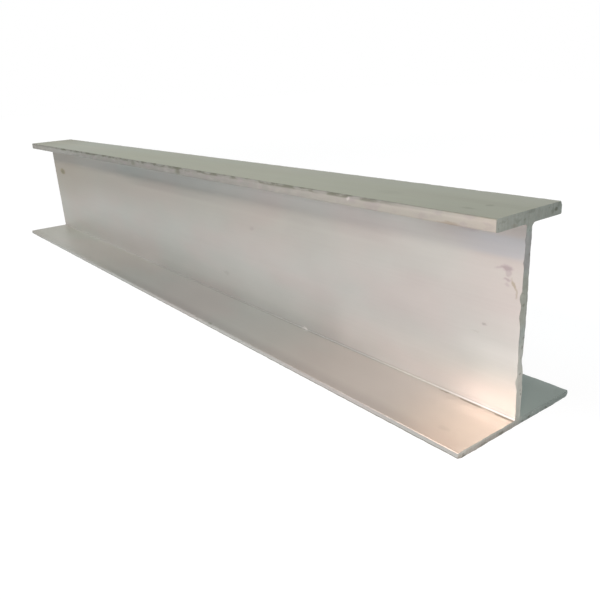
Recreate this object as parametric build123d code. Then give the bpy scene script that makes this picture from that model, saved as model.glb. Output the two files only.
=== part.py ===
from build123d import *
import os

# An aluminium support beam: one extruded length of I-section with a wide foot and a narrow head.
# Millimetres, +X along the beam, +Z up; the origin is on the floor, at the middle of the foot.

# Driving dimensions
beam_length = 1000.0
section_height = 160.0
head_width = 72.0
head_thickness = 9.0
foot_width = 132.0
foot_thickness = 5.0
web_thickness = 6.0
head_root_radius = 3.0
foot_root_radius = 1.5
edge_radius = 0.8


def half_outline():
    """Corners of the +Y half of the section, from the floor up, each as (y, z, radius)."""
    head_underside = section_height - head_thickness
    return [
        (foot_width / 2, 0.0, edge_radius),
        (foot_width / 2, foot_thickness, edge_radius),
        (web_thickness / 2, foot_thickness, foot_root_radius),
        (web_thickness / 2, head_underside, head_root_radius),
        (head_width / 2, head_underside, edge_radius),
        (head_width / 2, section_height, edge_radius),
    ]


def section():
    """The whole cross section: the half outline mirrored across the web's middle plane."""
    right = half_outline()
    left = [(-y, z, radius) for y, z, radius in reversed(right)]
    corners = right + left
    with BuildSketch(Plane.YZ) as profile:
        with BuildLine():
            FilletPolyline(
                [(y, z) for y, z, radius in corners],
                radius=[radius for y, z, radius in corners],
                close=True,
            )
        make_face()
    return profile.sketch


def i_beam():
    """The section drawn out both ways from the middle of the beam and sawn square."""
    return extrude(section(), amount=beam_length / 2, both=True)


os.makedirs("parts", exist_ok=True)
export_step(i_beam(), "parts/i_beam.step")
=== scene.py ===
"""Looks of an aluminium support beam: one sawn length of mill-finish extruded I-section."""
import math
from collections import namedtuple

import bmesh
import bpy
from bpy.props import FloatProperty, FloatVectorProperty, IntProperty, PointerProperty
from mathutils import Matrix, Vector


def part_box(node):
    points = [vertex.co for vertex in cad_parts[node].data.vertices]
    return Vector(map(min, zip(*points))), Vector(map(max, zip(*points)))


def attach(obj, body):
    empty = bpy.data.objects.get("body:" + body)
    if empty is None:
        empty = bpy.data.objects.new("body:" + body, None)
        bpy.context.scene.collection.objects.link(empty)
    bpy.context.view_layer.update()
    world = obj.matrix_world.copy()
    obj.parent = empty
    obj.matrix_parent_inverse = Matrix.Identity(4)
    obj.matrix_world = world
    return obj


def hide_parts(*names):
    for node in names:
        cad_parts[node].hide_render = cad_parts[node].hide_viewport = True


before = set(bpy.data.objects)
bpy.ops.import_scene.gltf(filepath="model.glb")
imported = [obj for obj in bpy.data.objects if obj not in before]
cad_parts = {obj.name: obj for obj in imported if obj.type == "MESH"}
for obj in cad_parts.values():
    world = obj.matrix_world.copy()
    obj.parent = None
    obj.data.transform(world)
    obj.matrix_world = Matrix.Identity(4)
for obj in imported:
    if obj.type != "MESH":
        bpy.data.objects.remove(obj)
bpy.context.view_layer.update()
NODE = "i_beam"
LOW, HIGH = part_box(NODE)
MM = 0.001

# Shares of a direction that count as facing an axis, for a face, or as running along it, for an edge
FACING = 0.9
ALONG = 0.99
# Metres within which two places count as one
TOUCHING = 1e-5

bl_info = {
    "name": "Aluminium support beam",
    "version": (1, 0, 0),
    "blender": (4, 5, 0),
    "location": "3D View > Sidebar > Beam",
    "description": "Models a sawn length of extruded I-section and sets it on a pale studio floor",
    "category": "Add Mesh",
}


def length(name, default, description):
    """A length that the user can set, in metres."""
    return FloatProperty(name=name, description=description, default=default, unit="LENGTH", precision=4)


def number(name, default, description):
    """A plain number that the user can set."""
    return FloatProperty(name=name, description=description, default=default)


def colour(name, default, description):
    """A linear colour that the user can set."""
    return FloatVectorProperty(
        name=name, description=description, default=default, subtype="COLOR", size=3, min=0, max=1)


def angle(name, degrees, description):
    """An angle that the user can set."""
    return FloatProperty(name=name, description=description, default=math.radians(degrees), subtype="ANGLE")


def place(name, millimetres, description):
    """A place in the beam's frame that the user can set."""
    metres = [value * MM for value in millimetres]
    return FloatVectorProperty(
        name=name, description=description, default=metres, subtype="TRANSLATION", unit="LENGTH")


class BeamSizes(bpy.types.PropertyGroup):
    """Sizes of the section, of its wear and of the mesh."""

    beam_length: length("Length", HIGH.x - LOW.x, "Sawn length along X")
    height: length("Height", HIGH.z - LOW.z, "Height of the section")
    foot_width: length("Foot width", HIGH.y - LOW.y, "Width of the bottom flange")
    foot_thickness: length("Foot thickness", 5 * MM, "Thickness of the bottom flange")
    head_width: length("Head width", 72 * MM, "Width of the top flange")
    head_thickness: length("Head thickness", 9 * MM, "Thickness of the top flange")
    web_thickness: length("Web thickness", 6 * MM, "Thickness of the upright web")
    head_root: length("Head root radius", 3 * MM, "Fillet between web and top flange")
    foot_root: length("Foot root radius", 1.5 * MM, "Fillet between web and bottom flange")
    edge_radius: length("Edge radius", 0.8 * MM, "Rounding of the flanges' outer corners")
    web_saw_depth: length("Web saw depth", 1.1 * MM, "How ragged the web's sawn end is")
    foot_saw_depth: length("Foot saw depth", 0.9 * MM, "How ragged the foot's sawn end is")
    head_saw_depth: length("Head saw depth", 0.4 * MM, "How ragged the head's sawn end is")
    foot_wear: length("Foot wear", 0.25 * MM, "Depth of the knocks along the foot's corners")
    head_wear: length("Head wear", 0.2 * MM, "Depth of the knocks along the head's corners")
    grid: length("Section grid", 12 * MM, "Largest face across the section")
    end_zone: length("End zone", 8 * MM, "Length of the fine mesh at each sawn end")
    end_grid: length("End grid", 2 * MM, "Largest face across the section at the sawn ends")
    stations: IntProperty(name="Stations", description="Faces along the beam, in hundreds", default=5)
    smooth_angle: angle("Smooth angle", 35, "Sharpest turn between faces that is shaded smooth")


class BeamFinish(bpy.types.PropertyGroup):
    """Colours of the metal and of what lies on it."""

    metal: colour("Metal", (0.350, 0.379, 0.362), "Bare mill-finish aluminium")
    blush: colour("Blush", (0.362, 0.366, 0.352), "Warmer patches of the oxide")
    dust: colour("Dust", (0.262, 0.273, 0.210), "Greenish dust on the upper faces")
    # Also paints contact shadow low on the foot's edges
    grime: colour("Grime", (0.183, 0.196, 0.182), "Dirt along the head's lips and the foot's edges")
    # Also paints contact shadow where the foot's edges meet the floor
    soot: colour("Soot", (0.080, 0.094, 0.066), "Black dirt in pits and along edges")
    stain: colour("Stain", (0.200, 0.185, 0.198), "Dried splash on the web and blotches on the lips")
    olive: colour("Olive", (0.205, 0.200, 0.140), "Yellowish film, and the run below the splash")
    rust: colour("Rust", (0.165, 0.145, 0.112), "Brown spots and streaks")
    # Fresh metal in nicks, and also painted highlights: the web's near corner, the back rim of the head and
    # a spot in the front root
    bright: colour("Bright", (0.720, 0.720, 0.700), "Fresh metal in nicks and rubbed edges")
    # Partly a warm tone, partly painted warm light: the foot's near corner and the web's far shadow band
    straw: colour("Straw", (0.405, 0.348, 0.288), "Warm film on the foot, strongest at its near corner")
    # Painted shade: the back of the foot and of its sawn end, shaded by the web
    painted_green_shade: colour("Painted green shade", (0.222, 0.288, 0.258), "Green film on the back of the foot")
    # Painted shade: the bluish tint of the head's shadow on the web
    shade_tint: colour("Shade tint", (0.290, 0.350, 0.390), "Bluish bloom under the head's near end")
    sawn: colour("Sawn", (0.275, 0.335, 0.315), "Sawn faces of the ends")
    # Also paints shade under the head, on the web's upper half
    tarnish_and_shade: colour("Tarnish", (0.240, 0.240, 0.205), "Olive veil on the web, thicker towards the far end")
    roughness: number("Roughness", 0.31, "Gloss of the bare metal")
    sawn_roughness: number("Sawn roughness", 0.52, "Gloss of the sawn faces")
    metallic: number("Metallic", 0.30, "Share of bare metal under the oxide")
    specular: number("Specular", 0.3, "Sheen of the oxide")


class BeamStage(bpy.types.PropertyGroup):
    """Camera, floor and light of the studio."""

    camera_place: place("Camera place", (738.7, -364.3, 252.3), "Where the camera stands")
    camera_azimuth: angle("Azimuth", 53.86, "Turn of the view about the vertical")
    camera_elevation: angle("Elevation", 19.52, "Height of the view above the horizon")
    camera_roll: angle("Roll", -3.56, "Tilt of the camera about its own line of sight")
    lens: number("Lens", 38.43, "Focal length in millimetres on a sensor 36 mm wide")
    floor_size: length("Floor size", 12.0, "Side of the floor")
    floor: colour("Floor", (0.8, 0.8, 0.8), "Pale floor, as it lights the beam")
    floor_glow: number("Floor glow", 0.94, "White that the floor shows at the beam")
    floor_catch: number("Floor catch", 0.1, "Share of the lamps' light that the floor shows")
    fill: colour("Fill", (0.75, 0.95, 1.0), "Colour of the room's own light")
    fill_level: number("Fill level", 0.12, "Strength of the room's own light")
    key_tint: colour("Key tint", (1.0, 0.82, 0.74), "Colour of the main lamp in front")
    high_tint: colour("High tint", (0.74, 0.91, 1.0), "Colour of the large lamp high in front")
    glow_tint: colour("Glow tint", (1.0, 0.81, 0.81), "Colour of the lamp that the near corner mirrors")
    spark_tint: colour("Spark tint", (1.0, 0.77, 0.74), "Colour of the small lamp at the near corner")
    back_tint: colour("Back tint", (1.0, 1.0, 1.0), "Colour of the lamp behind the beam")


class Value:
    """A number or colour that a node puts out, with sums that add Math nodes."""

    def __init__(self, wiring, socket):
        self.wiring = wiring
        self.socket = socket

    def out(self, name):
        """Another output of the same node."""
        return Value(self.wiring, self.socket.node.outputs[name])

    def __add__(self, other):
        return self.wiring.math("ADD", self, other)

    def __sub__(self, other):
        return self.wiring.math("SUBTRACT", self, other)

    def __rsub__(self, other):
        return self.wiring.math("SUBTRACT", other, self)

    def __mul__(self, other):
        return self.wiring.math("MULTIPLY", self, other)

    def __abs__(self):
        return self.wiring.math("ABSOLUTE", self)

    __radd__ = __add__
    __rmul__ = __mul__


class Wiring:
    """A node tree under construction."""

    def __init__(self, tree):
        self.tree = tree

    def add(self, kind, settings=None, sockets=None, output=0):
        """A node of a kind: first its settings, then the values or links of its sockets."""
        node = self.tree.nodes.new("ShaderNode" + kind)
        for name, value in (settings or {}).items():
            setattr(node, name, value)
        for key, value in (sockets or {}).items():
            self.feed(node.inputs[key], value)
        return Value(self, node.outputs[output])

    def show(self, kind, surface):
        """Ends the tree in an output node of a kind."""
        node = self.tree.nodes.new("ShaderNode" + kind)
        self.feed(node.inputs["Surface"], surface)

    def feed(self, socket, value):
        """Links a socket to a value, or sets it to a number, a vector or a colour."""
        if isinstance(value, Value):
            self.tree.links.new(value.socket, socket)
        elif socket.type == "RGBA":
            socket.default_value = (*value, 1.0)
        else:
            socket.default_value = value

    def math(self, operation, *terms):
        """A Math node on one or two values."""
        return self.add("Math", {"operation": operation}, dict(enumerate(terms)))

    def vector(self, operation, *terms, output=0):
        """A Vector Math node."""
        return self.add("VectorMath", {"operation": operation}, dict(enumerate(terms)), output)

    def rise(self, value, low, high):
        """0 at low, 1 at high and smooth between them; low may be the larger of the two."""
        sockets = {"Value": value, "From Min": low, "From Max": high}
        return self.add("MapRange", {"interpolation_type": "SMOOTHSTEP"}, sockets)

    def mix(self, factor, first, second):
        """A colour between two colours."""
        return self.add("Mix", {"data_type": "RGBA"}, {0: factor, 6: first, 7: second}, 2)

    def shade(self, tone, factor):
        """A colour made darker or lighter."""
        return self.add("VectorMath", {"operation": "SCALE"}, {0: tone, "Scale": factor})

    def seen_ray(self):
        """1 for rays from the camera, from reflections and through glass."""
        path = self.add("LightPath", output="Is Camera Ray")
        return path + path.out("Is Glossy Ray") + path.out("Is Transmission Ray")


class Section:
    """Faces of the section in millimetres: how far from the middle plane they lie, or how high."""

    def __init__(self, sizes):
        self.web = sizes.web_thickness / 2 / MM
        self.head = sizes.head_width / 2 / MM
        self.foot = sizes.foot_width / 2 / MM
        self.foot_top = sizes.foot_thickness / MM
        self.head_low = (sizes.height - sizes.head_thickness) / MM
        self.head_top = sizes.height / MM


# Cell of the noise that makes a mark's rim ragged, and how far it moves the rim, in mm
RAGGED_CELL = 5
RAGGED_REACH = 5


class Finish(Wiring):
    """A material of the beam, laid on coat by coat, whose patterns read the place on the beam in mm."""

    def __init__(self, name, base):
        self.material = bpy.data.materials.new(name)
        self.material.use_nodes = True
        super().__init__(self.material.node_tree)
        self.shader = self.tree.nodes["Principled BSDF"]
        self.place = self.shade(self.add("TexCoord", output="Object"), 1 / MM)
        self.x = self.add("SeparateXYZ", sockets={0: self.place})
        self.y = self.x.out("Y")
        self.z = self.x.out("Z")
        self.flank = abs(self.y)
        jitter = self.vector("SUBTRACT", self.noise((RAGGED_CELL,) * 3).out("Color"), (0.5,) * 3)
        self.ragged = self.vector("ADD", self.place, self.shade(jitter, RAGGED_REACH))
        self.tone = base
        self.dirt = 0.0

    def coat(self, share, layer):
        """Lays a share of a colour over the tone so far."""
        self.tone = self.mix(share, self.tone, layer)

    def soil(self, share, layer, strength=1.0):
        """Lays dirt over the tone so far, which also takes the gloss off."""
        self.coat(strength * share, layer)
        self.dirt = self.dirt + share

    def lighten(self, share):
        """Makes the tone so far lighter by a share, or darker where the share is below zero."""
        self.tone = self.shade(self.tone, 1 + share)

    def noise(self, cell, detail=2.0, shift=0.0):
        """Soft noise about one half, with cells of the given sizes along X, Y and Z."""
        scale = [1 / size for size in cell]
        spot = self.add("Mapping", sockets={"Vector": self.place, "Location": (shift,) * 3, "Scale": scale})
        return self.add("TexNoise", sockets={"Vector": spot, "Scale": 1.0, "Detail": detail})

    def within(self, value, low, high, soft):
        """1 between two limits, with soft shoulders outside them."""
        return self.rise(value, low - soft, low) * self.rise(value, high + soft, high)

    def blot(self, mark):
        """1 in the heart of a mark on the surface, fading to 0 at its ragged rim."""
        tilt = (0, math.radians(mark.tilt), 0)
        spot = self.add(
            "Mapping", {"vector_type": "TEXTURE"},
            {"Vector": self.ragged, "Location": mark.centre, "Rotation": tilt, "Scale": mark.reach})
        return self.rise(self.vector("LENGTH", spot, output="Value"), 1.0, mark.heart)

    def send(self, sockets):
        """Feeds the shader's own sockets."""
        for name, value in sockets.items():
            self.feed(self.shader.inputs[name], value)


# A mark on the surface: its colour, strength, centre and half sizes in mm, tilt about Y in degrees and
# the share of its size that is full
Mark = namedtuple("Mark", "tone strength centre reach tilt heart", defaults=(0, 0.3))

MARKS = (
    # Dried splash near the web's sawn end, with its run
    Mark("stain", 0.75, (486.0, -3, 118.4), (6.0, 3, 3.6)),
    Mark("stain", 0.35, (480.0, -3, 117.6), (5.5, 3, 1.7), -14),
    Mark("stain", 0.40, (487.5, -3, 114.5), (3.3, 3, 3.2)),
    Mark("stain", 0.55, (486.6, -3, 109.7), (4.6, 3, 2.1)),
    Mark("stain", 0.30, (487.0, -3, 106.3), (2.6, 3, 1.8)),
    Mark("olive", 0.70, (491.8, -3, 107.4), (1.9, 3, 6.0), -22),
    Mark("olive", 0.50, (494.0, -3, 101.0), (1.5, 3, 5.0), -14),
    # Single spots on the web
    Mark("soot", 0.35, (469, -3, 72), (3.2, 3, 2.0)),
    Mark("soot", 0.12, (462, -3, 64), (6, 3, 1.4), -10),
    Mark("grime", 0.25, (164, -3, 97), (7, 3, 2.8)),
    Mark("grime", 0.25, (100, -3, 34), (9, 3, 4.0)),
    Mark("olive", 0.90, (-459, -3, 109), (17, 3, 6.5), 0, 0.5),
    Mark("soot", 0.35, (-458, -3, 109), (12, 3, 4.5)),
    # Smudges on the head's top
    Mark("soot", 0.20, (465, -20, 160), (8, 4, 2)),
    Mark("soot", 0.24, (471.5, -5, 160), (5, 4, 2)),
    Mark("soot", 0.06, (380, -8, 160), (18, 9, 2)),
    # Runs and knocks on the head's front lip
    Mark("soot", 0.60, (-54, -36, 156.5), (9, 3, 5.0)),
    Mark("soot", 0.70, (70, -36, 155.5), (8, 3, 6.0)),
    Mark("bright", 0.24, (361, -36, 157.6), (3, 3, 1.6)),
    Mark("rust", 0.60, (462, -36, 151.6), (14, 3, 2.2)),
    Mark("stain", 0.30, (452, -3, 141.0), (13, 4, 2.5)),
    # A painted highlight in the front root, then knocks on the foot
    Mark("bright", 0.30, (250, -4.0, 6.0), (6, 3, 2)),
    Mark("rust", 0.12, (471, -48, 5), (8, 4, 2)),
    Mark("soot", 0.45, (164, -65.5, 5), (6, 2.5, 2)),
)

# Pits, dark patches and burrs on the near sawn face
END_MARKS = (
    Mark("soot", 0.85, (500, 28.9, 155.2), (6, 3.0, 2.2)),
    Mark("soot", 0.45, (500, 25.0, 155.0), (6, 2.2, 2.6)),
    Mark("soot", 0.35, (500, 33.0, 158.0), (6, 4.0, 2.6)),
    Mark("soot", 0.30, (500, 1.2, 158.6), (6, 5.0, 1.8)),
    Mark("soot", 0.28, (500, -13.6, 155.4), (6, 5.0, 1.8)),
    Mark("rust", 0.35, (500, -16.4, 152.4), (6, 5.0, 2.0)),
    Mark("soot", 0.25, (500, -29.0, 156.6), (6, 4.0, 1.6)),
    Mark("soot", 0.85, (500, -60.0, 0.8), (6, 3.6, 1.6)),
    Mark("soot", 0.50, (500, -40.0, 1.0), (6, 8.0, 1.2)),
    Mark("soot", 0.60, (500, -18.5, 1.0), (6, 5.0, 1.3)),
    Mark("soot", 0.80, (500, 14.0, 1.4), (6, 3.0, 1.6)),
    Mark("soot", 0.55, (500, 6.5, 1.6), (6, 3.0, 1.2)),
    Mark("bright", 0.20, (500, 18.5, 3.4), (6, 2.4, 1.2)),
    Mark("soot", 0.60, (500, 36.0, 1.2), (6, 3.0, 1.3)),
)


class MillFinish(Finish):
    """The extruded surface: patterns that several coats share, and its zones, each 1 where it lies."""

    def __init__(self, sizes, paint):
        super().__init__("mill_aluminium", paint.metal)
        self.paint = paint
        face = Section(sizes)
        self.face = face
        self.die_lines = self.noise((700, 1.3, 1.3), detail=3.0)
        self.mottle = self.noise((60, 26, 26), detail=3.0, shift=7.0)
        self.dashes = self.noise((16, 4, 4), detail=3.0, shift=11.0)
        self.front = self.rise(self.y, 0, -1)
        self.web = self.rise(self.flank, face.web + 3, face.web + 1)
        self.upper = self.rise(self.z, face.head_top - 1.1, face.head_top - 0.2)
        outside = self.rise(self.flank, face.head - 1.0, face.head - 0.2)
        self.lip = outside * self.rise(self.z, face.head_low - 0.4, face.head_low + 0.6)
        near_side = self.rise(self.flank, face.head - 1.6, face.head - 0.6)
        self.rim = near_side * self.rise(self.z, face.head_top - 3.4, face.head_top - 1.6)
        off_web = self.rise(self.flank, face.web + 0.5, face.web + 1.5)
        not_below = self.rise(self.z, face.foot_top - 0.9, face.foot_top - 0.3)
        self.foot_top = off_web * not_below * self.rise(self.z, face.foot_top + 1.5, face.foot_top + 0.2)
        by_web = self.rise(self.flank, face.web + 2.2, face.web + 1.4)
        above_foot = self.rise(self.z, face.foot_top - 0.5, face.foot_top - 0.1)
        self.root = by_web * above_foot * self.rise(self.z, face.foot_top + 2.2, face.foot_top + 1.4)


# Each coat takes the extruded finish, f, and lays its colours over the tone so far. Places are in mm.
def oxide(f):
    """Warmer patches of oxide, die lines along the beam and a soft mottle."""
    patches = f.noise((150, 60, 60), detail=2.0, shift=3.0)
    f.coat(f.rise(patches, 0.38, 0.64), f.paint.blush)
    f.lighten(0.06 * (f.die_lines - 0.5) + 0.14 * (f.mottle - 0.5))


def web_tarnish(f):
    """Olive veil on the web's upper half, partly painted shade under the head, darkest at the far end, with
    a warm film over its last part and painted light on the head's shadow band there.
    """
    # Painted light that lifts the head's shadow band on the web towards the far end
    far_band = f.web * f.rise(f.x, -130, -380) * f.rise(f.z, 122, 132)
    spread = 0.30 * f.rise(f.x, 420, 180) + 0.40 * f.rise(f.x, 50, -450)
    # Partly olive tarnish, partly painted shade under the head that deepens towards the far end
    veil_and_shade = spread * f.rise(f.z, 60, 115) * f.rise(f.z, 142, 122) * f.web * (1 - 0.8 * far_band)
    high = f.rise(f.z, 45, 82)
    last_web = f.web * f.rise(f.x, -280, -450) * (0.1 + 0.42 * high)
    last_flanges = (1 - f.web) * f.rise(f.x, -340, -480) * (0.5 + 0.3 * high)
    f.coat(veil_and_shade + (last_web + last_flanges) * (1 - veil_and_shade), f.paint.tarnish_and_shade)
    # Painted light on the far shadow band: lighter, and warmer by the straw below
    f.lighten(0.14 * far_band)
    warm = 0.1 * f.web * f.rise(f.x, -250, -420) * (1 - far_band) + 0.3 * far_band
    f.coat(warm, f.paint.straw)


def painted_web_light(f):
    """Painted light and shade on the web: lighter and darker bands, the head's painted shadow, bluish
    painted shade under the head and a painted glow at the bright near corner.
    """
    # Painted light: lighter bands low on the web and near the sawn end
    low_band = 0.12 * f.within(f.x, 320, 430, 30) * f.rise(f.z, 60, 30)
    near_band = 0.17 * f.rise(f.x, 430, 485) * f.within(f.z, 34, 52, 12)
    # Painted shadow of the head along the web, and painted shade low on the web by the foot
    soft_reach = 0.06 * f.within(f.x, -100, 330, 80) + 0.08 * f.within(f.x, -110, 20, 100)
    soft_band = soft_reach * f.within(f.z, 119, 126, 6)
    high_band = 0.16 * f.rise(f.x, 390, 450) * f.rise(f.z, 128, 140)
    foot_band = 0.16 * f.within(f.x, -60, 310, 60) * f.rise(f.z, 24, 6)
    f.lighten(f.web * (low_band + near_band - soft_band - high_band - foot_band))
    # Bluish painted shade under the head at the near end
    shade_tint = f.web * f.rise(f.x, 420, 480) * f.within(f.z, 128, 138, 5)
    f.coat(0.45 * shade_tint, f.paint.shade_tint)
    # Painted glow of the warm lamps at the web's near corner
    corner = f.web * f.rise(f.x, 425, 478) * f.rise(f.z, 40, 10)
    f.coat((0.55 + 0.3 * f.rise(f.z, 10, 7)) * corner, f.paint.bright)


def top_dust(f):
    """Greenish dust on the head's top, in long streaks, with less of it at the far end and towards the
    back, which paints light from behind.
    """
    streaks = f.noise((140, 14, 14), detail=3.0, shift=13.0)
    dust = f.shade(f.paint.dust, 1 + 0.14 * (f.mottle - 0.5) + 0.16 * (streaks - 0.5))
    # Less dust at the far end and the back paints light from behind on the top
    backlit_share = (1 - 0.25 * f.rise(f.x, -80, -330)) * (1 - 0.12 * f.rise(f.y, 0, 25))
    f.coat(0.85 * f.upper * backlit_share, dust)


def foot_film(f):
    """Straw film on the foot's front half, strongest at the near corner where it paints the lamps' warm
    light, and a green painted shade where the web shades the foot behind it.
    """
    shown = f.foot_top * f.front
    # Straw tone, growing into painted warm light towards the near corner
    f.coat(shown * (0.15 + 0.25 * f.rise(f.x, 150, 350) + 0.6 * f.rise(f.x, 400, 490)), f.paint.straw)
    # Painted light at the near corner: lighter outwards, darker by the web
    glow = f.rise(f.x, 420, 490) * (0.17 * f.rise(f.flank, 10, 40) - 0.07)
    outer = f.rise(f.flank, 50, 62)
    dull = 0.13 * f.within(f.x, -100, 200, 200) + 0.13 * outer * f.rise(f.x, 490, 430)
    far = f.rise(f.x, 0, -200)
    f.lighten(shown * (glow - dull + 0.15 * far))
    f.coat(0.20 * shown * far, f.paint.olive)
    # Green painted shade at the near end, where the web shades the back of the foot
    behind = f.foot_top * (1 - f.front)
    f.coat(0.8 * behind * f.rise(f.x, 300, 430), f.paint.painted_green_shade)


def lip_dirt(f):
    """Old grime on the head's lips, thinner at both ends, with an olive film and blotches."""
    f.coat(0.42 * f.lip * f.rise(f.x, 60, 320), f.paint.olive)
    age = f.rise(f.x, 540, 150) * (0.65 + 0.35 * f.rise(f.x, -450, -150))
    f.soil(f.lip * age * (1.0 + 1.2 * (f.dashes - 0.5)), f.paint.grime)
    blotches = f.noise((18, 9, 9), detail=3.0, shift=17.0)
    f.coat(0.35 * f.lip * f.rise(blotches, 0.48, 0.64), f.paint.stain)


def rim_dirt(f):
    """Grime and dashes of soot along the front rim of the head, and a painted highlight along the rim at
    the back.
    """
    front_rim = f.rim * f.front
    f.coat(front_rim * f.rise(f.x, 560, 380) * (0.75 - 0.05 * f.rise(f.x, 100, -100)), f.paint.grime)
    # Painted highlight: light from behind along the head's back rim
    near_back = (1 - f.front) * f.rise(f.flank, f.face.head - 3.5, f.face.head - 1.5)
    back_rim = near_back * f.rise(f.z, f.face.head_top - 3, f.face.head_top - 1)
    f.coat(0.6 * back_rim * f.rise(f.x, 450, 50), f.paint.bright)
    dashed = front_rim * f.rise(f.dashes, 0.45, 0.58) * f.within(f.x, -340, 370, 60)
    f.soil(dashed, f.paint.soot, strength=0.75)


def foot_edges_dirt_and_shade(f):
    """Grime on the foot's edges, darker low down, and soot where they meet the floor: partly dirt, partly
    painted contact shadow.
    """
    edge = f.rise(f.flank, f.face.foot - 1.0, f.face.foot - 0.2)
    top_dirt = (0.15 + 0.20 * f.rise(f.x, 400, 250)) * f.rise(f.z, 2.4, 4.2)
    # Darker low on the edge: partly dirt, partly painted contact shadow
    edge_grime_and_shade = 0.05 + 0.55 * f.rise(f.z, 2.0, 0.6) + top_dirt
    f.coat(edge * edge_grime_and_shade * (1 + 1.6 * (f.mottle - 0.5)), f.paint.grime)
    # Soot at the floor: partly dirt, partly painted contact shadow
    under_edge = f.rise(f.flank, f.face.foot - 2.0, f.face.foot - 1.0) * f.rise(f.z, 1.4, 0.6)
    f.soil(under_edge, f.paint.soot, strength=0.8)


def root_dirt(f):
    """Film along the foot's roots, and a broken brown line in the front root near the sawn end."""
    film = f.mix(f.rise(f.x, 420, 330), f.paint.olive, f.paint.grime)
    share = 0.25 + 0.35 * f.rise(f.x, 440, 330) - 0.30 * f.rise(f.x, 100, -300)
    f.coat(f.root * share, film)
    off_web = f.rise(f.flank, f.face.web + 0.9, f.face.web + 1.5)
    by_web = f.rise(f.flank, f.face.web + 3.6, f.face.web + 2.8)
    crack = f.front * off_web * by_web * f.rise(f.z, f.face.foot_top + 0.7, f.face.foot_top + 0.3)
    broken = crack * f.rise(f.dashes, 0.40, 0.52) * f.within(f.x, 435, 496, 8)
    f.soil(broken, f.paint.rust, strength=0.75)


# The coats of the extruded surface, from the metal up
MILL_COATS = (
    oxide, web_tarnish, painted_web_light, top_dust, foot_film, lip_dirt, rim_dirt, foot_edges_dirt_and_shade, root_dirt)


def mill_aluminium(sizes, paint):
    """Mill-finish extrusion: its coats and marks, then the gloss and relief that they leave."""
    f = MillFinish(sizes, paint)
    for lay_on in MILL_COATS:
        lay_on(f)
    for mark in MARKS:
        f.soil(mark.strength * f.blot(mark), getattr(paint, mark.tone))
    far = f.rise(f.x, 420, 150)
    polish = f.front * f.rise(f.x, 380, 470) * f.rise(f.z, 60, 15) * (1 - 0.8 * f.foot_top) * (1 - f.root)
    matt_faces = 0.13 * far * (1 - f.upper) + 0.32 * f.upper + 0.08 * f.foot_top * (1 - far)
    matt = matt_faces + 0.3 * f.rim + 0.3 * f.root
    grain = f.noise((1.2, 1.2, 1.2), detail=3.0, shift=5.0)
    relief = 0.6 * f.die_lines + 0.25 * grain
    f.send({
        "Base Color": f.tone,
        "Metallic": (paint.metallic + 0.3 * polish) * (1 - 0.7 * f.dirt) * (1 - 0.5 * f.upper),
        "Roughness": paint.roughness + 0.10 * (f.mottle - 0.5) + 0.15 * f.dirt + matt,
        "Normal": f.add("Bump", sockets={"Strength": 0.05, "Distance": 0.4 * MM, "Height": relief}),
        "Specular IOR Level": paint.specular,
    })
    return f.material


def sawn_end(sizes, paint):
    """Sawn face: upright saw lines, torn grey metal and a few dark pits."""
    f = Finish("sawn_end", paint.sawn)
    face = Section(sizes)
    saw_lines = f.noise((6, 1.6, 30), detail=3.0)
    torn = f.noise((3, 3, 3), detail=4.0, shift=4.0)
    blotch = f.noise((12, 12, 12), detail=1.0, shift=2.0)
    pits = f.rise(f.noise((4, 4, 4), detail=1.0, shift=9.0), 0.66, 0.74)
    on_foot = f.rise(f.z, face.foot_top + 3, face.foot_top)
    on_head = f.rise(f.z, face.head_low - 6, face.head_low)
    back_foot = on_foot * f.rise(f.y, -2, 8)
    front_foot = on_foot - back_foot
    flare = f.rise(f.z, 76, 50) * (1 - on_foot)
    # Lighter towards the top edge of the foot's front end
    lightened = front_foot * f.rise(f.z, 2.6, 4.4)
    wear = 0.5 * (saw_lines - 0.5) + 0.5 * (torn - 0.5) + 0.4 * (blotch - 0.5)
    f.lighten(0.28 * flare + 0.30 * lightened - 0.20 * on_foot - 0.04 * on_head + wear)
    f.coat(0.45 * f.within(f.z, 122, 140, 8), paint.stain)
    f.coat(0.30 * f.within(f.z, 82, 112, 8), paint.olive)
    f.coat(0.28 * on_head, paint.olive)
    f.coat(0.30 * front_foot + 0.30 * flare, paint.straw)
    # Green painted shade on the back of the foot's sawn end, shaded by the web
    f.coat(0.40 * back_foot, paint.painted_green_shade)
    f.coat(0.45 * pits, paint.soot)
    for mark in END_MARKS:
        f.coat(mark.strength * f.blot(mark), getattr(paint, mark.tone))
    relief = saw_lines + 0.7 * torn
    f.send({
        "Base Color": f.tone,
        "Metallic": paint.metallic * (1 - 0.6 * pits),
        "Roughness": paint.sawn_roughness + 0.2 * (torn - 0.5),
        "Normal": f.add("Bump", sockets={"Strength": 0.5, "Distance": 0.6 * MM, "Height": relief}),
        "Specular IOR Level": paint.specular,
    })
    return f.material


def pick(kind, test):
    """Selects the vertices, edges or faces that pass the test, on the mesh in edit mode."""
    data = bpy.context.edit_object.data
    bpy.ops.mesh.select_mode(type=kind)
    bpy.ops.mesh.select_all(action="DESELECT")
    mesh = bmesh.from_edit_mesh(data)
    items = {"VERT": mesh.verts, "EDGE": mesh.edges, "FACE": mesh.faces}[kind]
    for item in items:
        if not item.hide and test(item):
            item.select_set(True)
    mesh.select_flush_mode()
    bmesh.update_edit_mesh(data)


def cut(normal, distance):
    """Cuts all that shows of the mesh along a plane, with both sides kept."""
    bpy.ops.mesh.select_all(action="SELECT")
    axis = Vector(normal)
    bpy.ops.mesh.bisect(plane_co=axis * distance, plane_no=axis, threshold=TOUCHING / 10)


def lies_along_x(edge):
    """True for an edge that runs the beam's way."""
    run = edge.verts[1].co - edge.verts[0].co
    return abs(run.x) > ALONG * run.length


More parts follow.
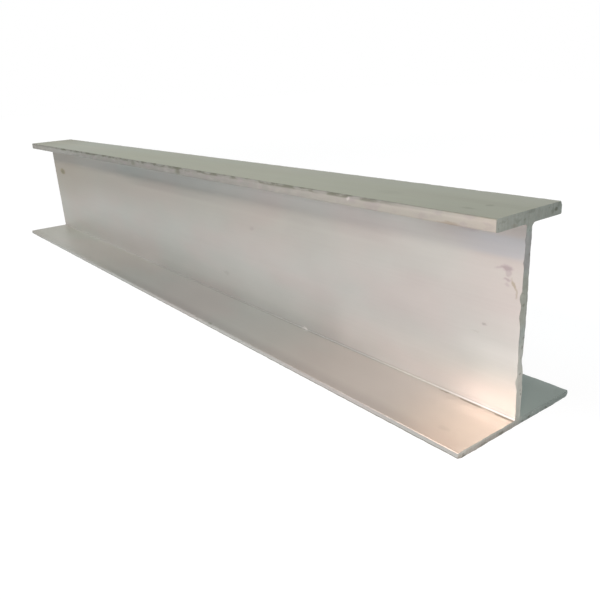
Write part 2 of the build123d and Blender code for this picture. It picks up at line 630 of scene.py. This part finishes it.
def web_block(sizes):
    """A block of the web's thickness and the beam's full height, cut at the flanges' inner faces."""
    bpy.ops.object.select_all(action="DESELECT")
    bpy.ops.mesh.primitive_cube_add(size=1.0, location=(0, 0, sizes.height / 2))
    beam = bpy.context.object
    beam.name = "beam"
    beam.scale = (sizes.beam_length, sizes.web_thickness, sizes.height)
    bpy.ops.object.transform_apply(location=True, rotation=True, scale=True)
    bpy.ops.object.mode_set(mode="EDIT")
    cut((0, 0, 1), sizes.foot_thickness)
    cut((0, 0, 1), sizes.height - sizes.head_thickness)
    return beam


def draw_out_flanges(sizes):
    """The block's foot and head pulled out sideways to the flanges' widths."""
    head_underside = sizes.height - sizes.head_thickness
    flat = math.radians(1)

    def is_foot(spot):
        return spot.z < sizes.foot_thickness

    def is_head(spot):
        return spot.z > head_underside

    for belongs, width in ((is_foot, sizes.foot_width), (is_head, sizes.head_width)):
        reach = (width - sizes.web_thickness) / 2
        for side in (-1, 1):
            pick("FACE", lambda face: face.normal.y * side > FACING and belongs(face.calc_center_median()))
            bpy.ops.mesh.extrude_region_move(TRANSFORM_OT_translate={"value": (0, side * reach, 0)})
    bpy.ops.mesh.select_all(action="SELECT")
    bpy.ops.mesh.dissolve_limited(angle_limit=flat)


# A rounding of the long edges at some corners of the section, on both sides of the web
Round = namedtuple("Round", "corners radius segments")


def round_edges(sizes):
    """Fillets in the web's roots and small radii on the flanges' outer corners."""
    half_web = sizes.web_thickness / 2
    head_underside = sizes.height - sizes.head_thickness
    half_foot = sizes.foot_width / 2
    half_head = sizes.head_width / 2

    def at(edge, y, z):
        spot = edge.verts[0].co
        return lies_along_x(edge) and abs(abs(spot.y) - y) < TOUCHING and abs(spot.z - z) < TOUCHING

    rounds = (
        Round([(half_web, sizes.foot_thickness)], sizes.foot_root, segments=5),
        Round([(half_web, head_underside)], sizes.head_root, segments=6),
        Round([(half_foot, 0), (half_foot, sizes.foot_thickness)], sizes.edge_radius, segments=3),
        Round([(half_head, head_underside), (half_head, sizes.height)], sizes.edge_radius, segments=3),
    )
    for turn in rounds:
        pick("EDGE", lambda edge: any(at(edge, y, z) for y, z in turn.corners))
        bpy.ops.mesh.bevel(
            offset=turn.radius, offset_type="OFFSET", segments=turn.segments, profile=0.5, affect="EDGES")


def cut_section(sizes, grid):
    """Cuts across the section, so that no face that shows is wider or higher than the grid."""
    base = sizes.foot_thickness + sizes.foot_root
    inner = sizes.height - sizes.head_thickness - sizes.head_root - base
    rows = round(inner / grid)
    for i in range(1, rows):
        cut((0, 0, 1), base + inner * i / rows)
    half_web = sizes.web_thickness / 2
    half_foot = sizes.foot_width / 2
    columns = round((half_foot - half_web) / grid)
    for side in (-1, 1):
        cut((0, 1, 0), side * half_web / 3)
        for i in range(1, columns):
            cut((0, 1, 0), side * (half_web + (half_foot - half_web) * i / columns))


# Faces along the beam for each one of the stations setting
STATION_COUNT = 100
# Where the mesh at the sawn ends is cut again, in from the end
END_INSETS = (0.4 * MM, 1.0 * MM)


def cut_grid(sizes):
    """Even stations along the beam, and a finer mesh at the two sawn ends."""
    end = sizes.beam_length / 2
    cut_section(sizes, sizes.grid)
    pick("EDGE", lies_along_x)
    bpy.ops.mesh.subdivide(number_cuts=STATION_COUNT - 1)
    pick("EDGE", lies_along_x)
    bpy.ops.mesh.subdivide(number_cuts=sizes.stations - 1)
    pick("FACE", lambda face: abs(face.calc_center_median().x) < end - sizes.end_zone)
    bpy.ops.mesh.hide(unselected=False)
    cut_section(sizes, sizes.end_grid)
    cut((0, 0, 1), sizes.foot_thickness / 2)
    cut((0, 0, 1), sizes.height - sizes.head_thickness / 3)
    cut((0, 0, 1), sizes.height - sizes.head_thickness * 2 / 3)
    for inset in END_INSETS:
        for side in (-1, 1):
            cut((1, 0, 0), side * (end - inset))
    bpy.ops.mesh.reveal(select=False)


def weigh(beam, name, weight):
    """A vertex group with weights worked out from each vertex's place."""
    group = beam.vertex_groups.new(name=name)
    for vertex in beam.data.vertices:
        share = weight(vertex.co)
        if share > 0:
            group.add([vertex.index], share, "REPLACE")


def push_in(beam, group, axis, depth, noise=None):
    """Moves a group of vertices along an axis, by the full depth or by a noise's share of it."""
    bpy.ops.object.modifier_add(type="DISPLACE")
    push = beam.modifiers[-1]
    push.texture = noise
    push.texture_coords = "LOCAL"
    push.direction = axis
    push.vertex_group = group
    push.mid_level = 0.0
    push.strength = depth
    bpy.ops.object.modifier_apply(modifier=push.name)


def roughen(beam, group, axis, depth, cell, contrast=1.0):
    """Pushes a group of vertices by soft noise, from nothing to the full depth."""
    noise = bpy.data.textures.new(group, "CLOUDS")
    noise.noise_scale = cell
    noise.noise_depth = 2
    noise.contrast = contrast
    noise.use_clamp = True
    push_in(beam, group, axis, depth, noise)
    bpy.data.textures.remove(noise)


# A bite of the saw into the near end: its place and reach across the section and its depth, in mm
Bite = namedtuple("Bite", "y z reach_y reach_z depth")

BITES = (
    # The web's cut stands back at its front edge, with notches in it
    Bite(-3, 95, 5, 55, 0.6),
    Bite(-3, 54, 4, 26, 0.7),
    Bite(-3, 35, 3, 7, 1.5),
    Bite(-3, 85, 3, 7, 1.0),
    Bite(-3, 99, 3, 6, 2.0),
    Bite(-3, 124, 3, 3.5, 1.0),
    Bite(-3, 140, 3, 3, 0.7),
    # The hollow above the flare on the back edge
    Bite(3, 56, 5, 18, 1.0),
    Bite(3, 51, 4, 6, 0.9),
    # Knocked corners of the head and the foot
    Bite(36, 160, 2.5, 2.5, 0.9),
    Bite(66, 5, 5, 4, 0.7),
    Bite(66, 0, 5, 3, 0.6),
    Bite(-66, 0, 4, 3, 0.9),
)

# Cell of each wave that the saw leaves, and its share of the saw depth
SAW_WAVES = ((9 * MM, 1.0), (3 * MM, 0.5))


def saw_ends(beam, sizes):
    """Ragged sawn ends and the near end's bites, with nothing standing past the square length."""
    end = sizes.beam_length / 2
    foot_share = sizes.foot_saw_depth / sizes.web_saw_depth
    head_share = sizes.head_saw_depth / sizes.web_saw_depth
    head_underside = sizes.height - sizes.head_thickness
    # A weight stops at 1, so bites are shares of a depth that none of them reaches
    deepest = 4 * MM

    def blend(value, low, high):
        return min(max((value - low) / (high - low), 0.0), 1.0)

    def wander(spot):
        into_web = blend(spot.z, sizes.foot_thickness, sizes.foot_thickness + sizes.foot_root)
        into_head = blend(spot.z, head_underside - sizes.head_root, head_underside)
        share = foot_share + (1 - foot_share) * into_web
        return share + (head_share - share) * into_head

    def bitten(spot):
        depth = 0.0
        for bite in BITES:
            across = (spot.y / MM - bite.y) / bite.reach_y
            upward = (spot.z / MM - bite.z) / bite.reach_z
            depth += bite.depth * max(1 - (across ** 2 + upward ** 2), 0.0) ** 2
        return depth * MM / deepest * blend(spot.x, end - sizes.end_zone, end)

    for name, side in (("near_end", 1), ("far_end", -1)):
        weigh(beam, name, lambda spot: wander(spot) * blend(spot.x * side, end - sizes.end_zone, end))
        for cell, share in SAW_WAVES:
            roughen(beam, name, "X", -side * sizes.web_saw_depth * share, cell)
        beam.vertex_groups.clear()
    weigh(beam, "bites", bitten)
    push_in(beam, "bites", "X", -deepest)
    beam.vertex_groups.clear()


# Length of a knock on a corner, and how sharply the knocks stand apart
KNOCK_CELL = 7 * MM
KNOCK_CONTRAST = 2.5


def wear_edges(beam, sizes):
    """Knocks along the flanges' outer corners, always into the metal."""
    # The rounded corner and a little past it
    near = sizes.edge_radius * 1.05
    head_underside = sizes.height - sizes.head_thickness
    flanges = (
        ("foot_corners", sizes.foot_width / 2, (0, sizes.foot_thickness), sizes.foot_wear),
        ("head_corners", sizes.head_width / 2, (head_underside, sizes.height), sizes.head_wear),
    )
    for name, edge, levels, depth in flanges:
        def on_corner(spot):
            return float(abs(abs(spot.y) - edge) < near and any(abs(spot.z - z) < near for z in levels))
        weigh(beam, name, on_corner)
        roughen(beam, name, "NORMAL", -depth, KNOCK_CELL, KNOCK_CONTRAST)
        beam.vertex_groups.clear()


class BEAM_OT_make_beam(bpy.types.Operator):
    """Model the extruded beam with its sawn ends and worn edges"""

    bl_idname = "beam.make_beam"
    bl_label = "Make beam"

    def execute(self, context):
        sizes = context.scene.beam_sizes
        paint = context.scene.beam_finish
        beam = web_block(sizes)
        draw_out_flanges(sizes)
        round_edges(sizes)
        cut_grid(sizes)
        beam.data.materials.append(mill_aluminium(sizes, paint))
        beam.data.materials.append(sawn_end(sizes, paint))
        pick("FACE", lambda face: abs(face.normal.x) > FACING)
        beam.active_material_index = 1
        bpy.ops.object.material_slot_assign()
        bpy.ops.object.mode_set(mode="OBJECT")
        saw_ends(beam, sizes)
        wear_edges(beam, sizes)
        bpy.ops.object.shade_smooth_by_angle(angle=sizes.smooth_angle)
        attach(beam, "root")
        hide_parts(NODE)
        return {"FINISHED"}


# Metres from the beam's middle between which the floor turns fully white
FLOOR_FADE = (0.8, 3.0)


def pale_floor(stage):
    """Floor that shows white and still takes the beam's soft shadow."""
    material = bpy.data.materials.new("pale_floor")
    material.use_nodes = True
    material.node_tree.nodes.clear()
    wiring = Wiring(material.node_tree)
    distance = wiring.vector("LENGTH", wiring.add("TexCoord", output="Object"), output="Value")
    glow = stage.floor_glow + (1 - stage.floor_glow) * wiring.rise(distance, *FLOOR_FADE)
    white = wiring.add("Emission", sockets={"Color": (1, 1, 1), "Strength": glow})
    catcher = wiring.add("BsdfDiffuse", sockets={"Color": (stage.floor_catch,) * 3})
    shown = wiring.add("AddShader", sockets={0: white, 1: catcher})
    matt = wiring.add("BsdfDiffuse", sockets={"Color": stage.floor})
    surface = wiring.add("MixShader", sockets={0: wiring.seen_ray(), 1: matt, 2: shown})
    wiring.show("OutputMaterial", surface)
    return material


def lay_floor(stage):
    """A wide plain floor under the beam."""
    bpy.ops.object.select_all(action="DESELECT")
    bpy.ops.mesh.primitive_plane_add(size=stage.floor_size, location=(0, 0, 0))
    floor = bpy.context.object
    floor.name = "floor"
    floor.data.materials.append(pale_floor(stage))


def white_room(stage):
    """World that shows white and adds only a little light of its own."""
    world = bpy.data.worlds.new("white_room")
    world.use_nodes = True
    world.node_tree.nodes.clear()
    wiring = Wiring(world.node_tree)
    fill = wiring.add("Background", sockets={"Color": stage.fill, "Strength": stage.fill_level})
    white = wiring.add("Background", sockets={"Color": (1, 1, 1), "Strength": 1.0})
    wiring.show("OutputWorld", wiring.add("MixShader", sockets={0: wiring.seen_ray(), 1: fill, 2: white}))
    return world


# A square soft lamp: its place, its target and its side in mm, its watts and whether metal mirrors it
Lamp = namedtuple("Lamp", "name place target side power mirrored", defaults=(True,))

# Middle of the beam, in mm
BEAM_MIDDLE = (0, 0, 80)

LAMPS = (
    Lamp("key", (-600, -1600, 1400), BEAM_MIDDLE, 350, 36.4),
    Lamp("high", (0, -900, 2000), BEAM_MIDDLE, 1000, 17.6),
    Lamp("glow", (233, -373, 244), (485, -13, 5), 100, 0.83),
    Lamp("spark", (600, -160, 100), (485, -10, 10), 60, 0.41, mirrored=False),
    Lamp("back", (480, 1500, 600), BEAM_MIDDLE, 500, 9.6),
)


def hang(lamp, tint):
    """Hangs a lamp, turned towards its target and hidden from the camera."""
    spot = Vector(lamp.place) * MM
    aim = Vector(lamp.target) * MM - spot
    bpy.ops.object.light_add(type="AREA", location=spot)
    light = bpy.context.object
    light.name = lamp.name
    light.rotation_euler = aim.to_track_quat("-Z", "Y").to_euler()
    light.data.size = lamp.side * MM
    light.data.energy = lamp.power
    light.data.color = tint
    light.visible_camera = False
    light.visible_glossy = lamp.mirrored


# The camera's sensor in millimetres, and the nearest that it sees in metres
SENSOR_WIDTH = 36.0
CLIP_START = 0.01


def set_camera(scene, stage):
    """The photograph's camera."""
    bpy.ops.object.camera_add(location=stage.camera_place)
    camera = bpy.context.object
    turn = Matrix.Rotation(stage.camera_azimuth, 3, "Z")
    tip = Matrix.Rotation(math.pi / 2 - stage.camera_elevation, 3, "X")
    roll = Matrix.Rotation(stage.camera_roll, 3, "Z")
    camera.rotation_euler = (turn @ tip @ roll).to_euler()
    camera.data.sensor_width = SENSOR_WIDTH
    camera.data.lens = stage.lens
    camera.data.clip_start = CLIP_START
    scene.camera = camera


class BEAM_OT_make_stage(bpy.types.Operator):
    """Set the floor, the lamps and the camera"""

    bl_idname = "beam.make_stage"
    bl_label = "Make stage"

    def execute(self, context):
        scene = context.scene
        stage = scene.beam_stage
        scene.view_settings.view_transform = "Standard"
        lay_floor(stage)
        scene.world = white_room(stage)
        for lamp in LAMPS:
            hang(lamp, getattr(stage, lamp.name + "_tint"))
        set_camera(scene, stage)
        return {"FINISHED"}


class BEAM_PT_panel(bpy.types.Panel):
    """Sizes, colours and the two operators"""

    bl_idname = "BEAM_PT_panel"
    bl_label = "Support beam"
    bl_space_type = "VIEW_3D"
    bl_region_type = "UI"
    bl_category = "Beam"

    def draw(self, context):
        scene = context.scene
        for group in (scene.beam_sizes, scene.beam_finish, scene.beam_stage):
            box = self.layout.box()
            for name in group.__annotations__:
                box.prop(group, name)
        self.layout.operator("beam.make_beam")
        self.layout.operator("beam.make_stage")


SETTINGS = {"beam_sizes": BeamSizes, "beam_finish": BeamFinish, "beam_stage": BeamStage}
CLASSES = (*SETTINGS.values(), BEAM_OT_make_beam, BEAM_OT_make_stage, BEAM_PT_panel)


def register():
    """Adds the classes and the scene's settings."""
    for cls in CLASSES:
        bpy.utils.register_class(cls)
    for name, group in SETTINGS.items():
        setattr(bpy.types.Scene, name, PointerProperty(type=group))


def unregister():
    """Takes them out again."""
    for name in SETTINGS:
        delattr(bpy.types.Scene, name)
    for cls in reversed(CLASSES):
        bpy.utils.unregister_class(cls)


def main():
    """Builds the beam and its stage."""
    register()
    bpy.ops.beam.make_beam()
    bpy.ops.beam.make_stage()


if __name__ == "__main__":
    main()
